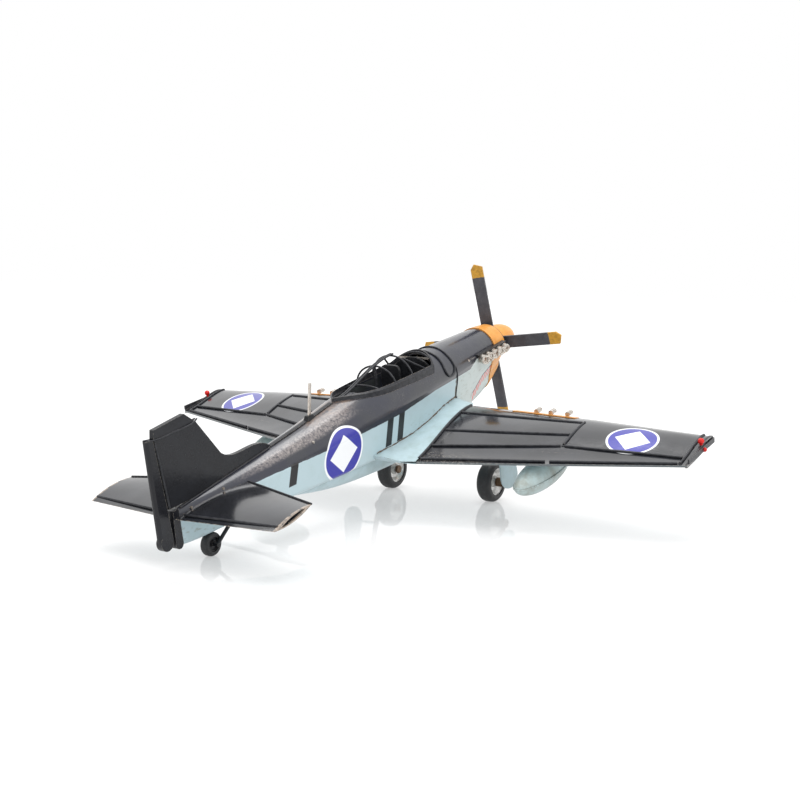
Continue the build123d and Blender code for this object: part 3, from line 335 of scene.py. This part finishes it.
def blade_paint():
    """Dusty dark grey with ochre tips."""
    f = Finish("blade_paint")
    reach = f.reach(f.y, f.math("SUBTRACT", f.z, THRUST_Z))
    base = f.mix(f.rise(f.noise(0.2, 4), 0.35, 0.7), tint("3c3c42"), tint("4a4a50"))
    base = f.mix(f.math("MULTIPLY", f.rise(f.noise(1.5, 6, 0.7), 0.56, 0.7), 0.5), base, tint("77706a"))
    ochre = f.mix(f.rise(f.noise(0.5, 5, 0.65), 0.35, 0.7), tint("d09a2e"), tint("a97d24"))
    wobble = f.math("MULTIPLY", f.noise(0.9, 3), 0.5)
    colour = f.mix(f.rise(f.math("ADD", reach, wobble), TIP_PAINT - 0.1, TIP_PAINT + 0.1), base, ochre)
    colour = f.mix(f.both(f.edges(0.25), f.rise(f.noise(0.9, 5), 0.45, 0.62)), colour, tint("9a948c"))
    return f.done(colour, uneven(f, f.noise(0.6, 5), 0.25, 0.3), f.noise(1.2, 4), 0.04)


def tyre_rubber():
    """Scuffed and dusty black rubber."""
    f = Finish("tyre_rubber")
    scuff = f.rise(f.noise(0.9, 6, 0.7), 0.5, 0.75)
    colour = f.mix(f.math("MULTIPLY", scuff, 0.45), tint("252527"), tint("4b4a48"))
    dust = f.both(f.rise(f.noise(3.0, 5, 0.7), 0.55, 0.7), 0.5)
    colour = f.mix(dust, colour, tint("5f5c57"))
    return f.done(colour, uneven(f, scuff, 0.2, 0.5), f.noise(2.0, 6, 0.7), 0.12)


def exhaust_steel():
    """Bright metal with patches of rust."""
    f = Finish("exhaust_steel", Metallic=0.75)
    rust = f.rise(f.noise(0.7, 6, 0.65), 0.5, 0.66)
    colour = f.mix(f.rise(f.noise(2.0, 5), 0.35, 0.7), tint("dcd8d0"), tint("a39a90"))
    colour = f.mix(f.math("MULTIPLY", rust, 0.8), colour, tint("7a5238"))
    return f.done(colour, uneven(f, rust, 0.3, 0.28), f.noise(1.6, 5), 0.12)


# One finish for each material slot of the record, under the slot's name. Blender numbers a new
# material whose name is taken, so the number is cut off.
finishes = {material.name.split(".")[0]: material for material in (
    fuselage_paint(),
    wing_paint(),
    orange_paint(),
    blade_paint(),
    tyre_rubber(),
    exhaust_steel(),
    simple("dark_paint", DARK, tint("24262b"), 0.1, 0.6, 0.24, tint("8a847b"), 0.3),
    simple("pale_paint", PALE, tint("93a5a2"), 0.16, 0.5, 0.34, tint("5b4a38"), 0.25),
    simple("tank_paint", tint("b0c0c0"), tint("7d7868"), 0.13, 0.7, 0.36, tint("5b4331"), 0.5),
    simple("frame_paint", tint("232428"), tint("47484c"), 0.5, 0.6, 0.35, tint("8b8178"), 0.2, bump=0.12),
    simple("black_paint", tint("16171a"), tint("2a2b2f"), 0.2, 0.6, 0.35, tint("6d6862"), 0.2),
    simple("cockpit_paint", tint("5e635e"), tint("3c3f3c"), 0.2, 0.7, 0.6, tint("857f75"), 0.2),
    simple("deck_grey", tint("5b5c60"), tint("38393c"), 0.5, 0.7, 0.5, tint("8a857e"), 0.2),
    simple("bare_steel", tint("d8d2ca"), tint("a08b7a"), 0.35, 0.7, 0.32, tint("6b4a33"), 0.2, metallic=0.85),
    simple("leg_steel", tint("6e5844"), tint("3b2b22"), 0.5, 0.8, 0.5, tint("a08c78"), 0.2, metallic=0.7,
           bump=0.15),
    simple("hub_silver", tint("d6d6d4"), tint("8b8a86"), 0.5, 0.7, 0.32, tint("6d675f"), 0.2, metallic=0.8),
    simple("brass_bush", tint("b8955a"), tint("6e5532"), 0.5, 0.7, 0.35, metallic=0.9),
    simple("red_lamp", tint("d2201c"), tint("8e0f10"), 0.6, 0.6, 0.22, bump=0.08),
)}
slots = {row["node"]: row["material_slot"] for row in frame["record"]["subparts"]}
for name, piece in nodes.items():
    piece.data.materials.clear()
    piece.data.materials.append(finishes[slots[name]])

# Small soldered details, set on the CAD's own surfaces
SOLDER = "frame_paint"
SEAM_FINISH = "leg_steel"
trees = {}


def surface(name):
    """The search tree over one node's mesh."""
    if name not in trees:
        mesh = nodes[name].data
        trees[name] = BVHTree.FromPolygons([v.co for v in mesh.vertices], [p.vertices for p in mesh.polygons])
    return trees[name]


def beside(name, x, z, side):
    """The outermost place on a node's side, at x and z on the level airframe."""
    return surface(name).ray_cast(at(x, side * 60, z), Vector((0, -side, 0)))[0]


def above(name, x, y):
    """The highest place on a node, at x and y on the level airframe."""
    return surface(name).ray_cast(at(x, y, 90), -turned(0, 0, 1))[0]


def beads(name, places, size, flat=0.6):
    """One mesh of lumpy solder beads of the given size in millimetres."""
    shape = bmesh.new()
    for index, place in enumerate(places):
        if place is None:
            continue
        made = bmesh.ops.create_icosphere(shape, subdivisions=3, radius=1.0)
        for vertex in made["verts"]:
            swell = 1 + 0.28 * lump(vertex.co * 1.7 + Vector((index * 3.1, 0, 0)))
            stretch = 1 + 0.35 * math.sin(index * 2.4)
            local = Vector((vertex.co.x * stretch, vertex.co.y, vertex.co.z * flat)) * swell * size / 1000
            vertex.co = place + local
    mesh = bpy.data.meshes.new(name)
    shape.to_mesh(mesh)
    shape.free()
    mesh.polygons.foreach_set("use_smooth", [True] * len(mesh.polygons))
    made = bpy.data.objects.new(name, mesh)
    bpy.context.scene.collection.objects.link(made)
    mesh.materials.append(finishes[SOLDER])
    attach(made, "airframe")


def strand(name, places, radius, wobble):
    """A thin uneven seam through the places, in millimetres."""
    places = [place for place in places if place is not None]
    curve = bpy.data.curves.new(name, "CURVE")
    curve.dimensions = "3D"
    curve.bevel_depth = radius / 1000
    curve.bevel_resolution = 4
    spline = curve.splines.new("POLY")
    spline.points.add(len(places) - 1)
    for point, place in zip(spline.points, places):
        shift = Vector([random.uniform(-wobble, wobble) for _ in range(3)]) / 1000
        point.co = (*(place + shift), 1)
        point.radius = random.uniform(0.6, 1.25)
    made = bpy.data.objects.new(name, curve)
    bpy.context.scene.collection.objects.link(made)
    curve.materials.append(finishes[SEAM_FINISH])
    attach(made, "airframe")


def along(points, steps):
    """Evenly shared places along straight runs."""
    result = []
    for a, b in zip(points, points[1:]):
        result += [[p + (q - p) * i / steps for p, q in zip(a, b)] for i in range(steps)]
    return result + [list(points[-1])]


# Along the upper edge of each wing fillet, and the soldered spots of each wing's wires: the places
# (y, shares of the chord behind the leading edge) where the wires meet
SEAM = ((169.0, 15.6), (157.0, 14.5), (144.0, 11.7), (130.0, 9.9), (112.0, 9.5), (101.0, 9.6))
WIRE_MEETINGS = ((84.0, (0.185, 0.45, 0.64)), (137.6, (0.06, 0.78, 0.955)), (27.0, (0.235, 0.53, 0.76, 0.955)))
COWL_SPOTS = ((172.0, 12.4), (173.4, 11.8), (171.0, 15.0), (170.6, 30.6))
for label, side, half in (("left", 1, "fuselage_left"), ("right", -1, "fuselage_right")):
    strand(f"fillet_seam_{label}", [beside(half, x, z, side) for x, z in along(SEAM, 9)], 0.3, 0.15)
    joints = []
    for y, shares in WIRE_MEETINGS:
        front, rear = 172.2 - 0.02 * y, 95.5 + 0.308 * y
        joints += [above(f"wing_{label}", front - share * (front - rear), side * y) for share in shares]
    beads(f"wing_solder_{label}", joints, 0.75)
    beads(f"cowl_solder_{label}", [beside(half, x, z, side) for x, z in COWL_SPOTS], 0.65)

# Glossy pale floor, soft light all round and the camera
bpy.ops.mesh.primitive_plane_add(size=8)
floor = bpy.context.object
floor.name = "floor"
white = bpy.data.materials.new("floor_white")
white.use_nodes = True
gloss = white.node_tree.nodes["Principled BSDF"]
gloss.inputs["Base Color"].default_value = (0.46, 0.46, 0.46, 1)
gloss.inputs["Emission Color"].default_value = (1, 1, 1, 1)
gloss.inputs["Emission Strength"].default_value = 0.38
gloss.inputs["Roughness"].default_value = 0.03
gloss.inputs["IOR"].default_value = 1.16
floor.data.materials.append(white)

world = bpy.data.worlds.new("studio")
bpy.context.scene.world = world
world.use_nodes = True
world.node_tree.nodes["Background"].inputs[0].default_value = (1, 1, 1, 1)
world.node_tree.nodes["Background"].inputs[1].default_value = 1.0


def lamp(name, place, aim, size, power):
    """A square softbox at a place in metres, turned towards its aim."""
    light = bpy.data.lights.new(name, "AREA")
    light.size = size
    light.energy = power
    made = bpy.data.objects.new(name, light)
    bpy.context.scene.collection.objects.link(made)
    made.location = place
    made.rotation_euler = (Vector(aim) - Vector(place)).to_track_quat("-Z", "Y").to_euler()


lamp("top_softbox", (0.1, 0.1, 1.1), (0, 0, 0), 0.9, 9)
lamp("side_softbox", (-0.5, -1.0, 0.8), (0, 0, 0.05), 0.6, 5)

LENS, SENSOR = 56.5, 36
CAMERA_PLACE = Vector((-0.3599 + TAIL / 1000, -0.32555, 0.11489))
CAMERA_YAW, CAMERA_PITCH, CAMERA_ROLL = math.radians(33.54), math.radians(-6.157), math.radians(1.11)
camera = bpy.data.objects.new("camera", bpy.data.cameras.new("camera"))
bpy.context.scene.collection.objects.link(camera)
camera.data.sensor_width = SENSOR
camera.data.lens = LENS
camera.data.clip_start, camera.data.clip_end = 0.01, 50
forward = Vector((math.cos(CAMERA_PITCH) * math.cos(CAMERA_YAW), math.cos(CAMERA_PITCH) * math.sin(CAMERA_YAW),
                  math.sin(CAMERA_PITCH)))
right = Vector((math.sin(CAMERA_YAW), -math.cos(CAMERA_YAW), 0))
up = right.cross(forward)
tilted_right = math.cos(CAMERA_ROLL) * right + math.sin(CAMERA_ROLL) * up
tilted_up = math.cos(CAMERA_ROLL) * up - math.sin(CAMERA_ROLL) * right
turn = Matrix((tilted_right, tilted_up, -forward)).transposed().to_4x4()
camera.matrix_world = Matrix.Translation(CAMERA_PLACE) @ turn
camera.data.shift_y = -0.0019
bpy.context.scene.camera = camera
bpy.context.scene.view_settings.view_transform = "Standard"
